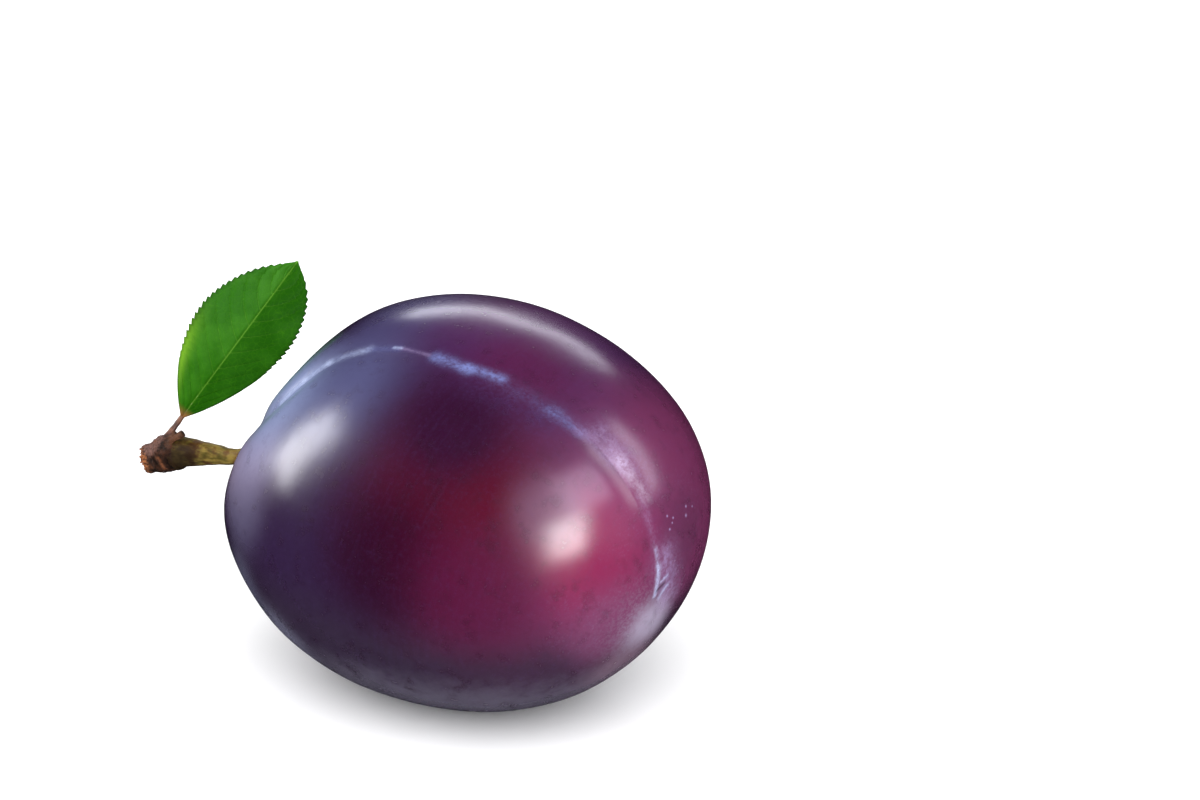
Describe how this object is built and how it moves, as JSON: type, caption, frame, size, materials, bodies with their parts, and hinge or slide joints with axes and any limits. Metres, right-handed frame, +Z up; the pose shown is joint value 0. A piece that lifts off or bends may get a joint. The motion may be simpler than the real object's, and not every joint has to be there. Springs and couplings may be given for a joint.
{
  "type": "plum with stalk and leaf",
  "caption": "Whole ripe plum as picked, lying on its side, with its seam groove, stalk, woody spur and a small toothed leaf.",
  "frame": {"origin": "middle of the flat spot that the fruit lies on", "axes": "+X level from the stalk end to the apex, which is the longest way, +Z up out of the surface it lies on"},
  "size_m": [0.0827, 0.0516, 0.0468],
  "materials": {
    "skin": "smooth violet fruit skin under a thin waxy bloom",
    "stalk": "dull green stalk with brown flecks",
    "bark": "rough dark bark, torn at the end",
    "leaf": "satin green leaf with pale veins"
  },
  "bodies": {
    "root": {"fruit": "skin", "stalk": "stalk", "spur": "bark", "leaf": "leaf"}
  },
  "joints": []
}
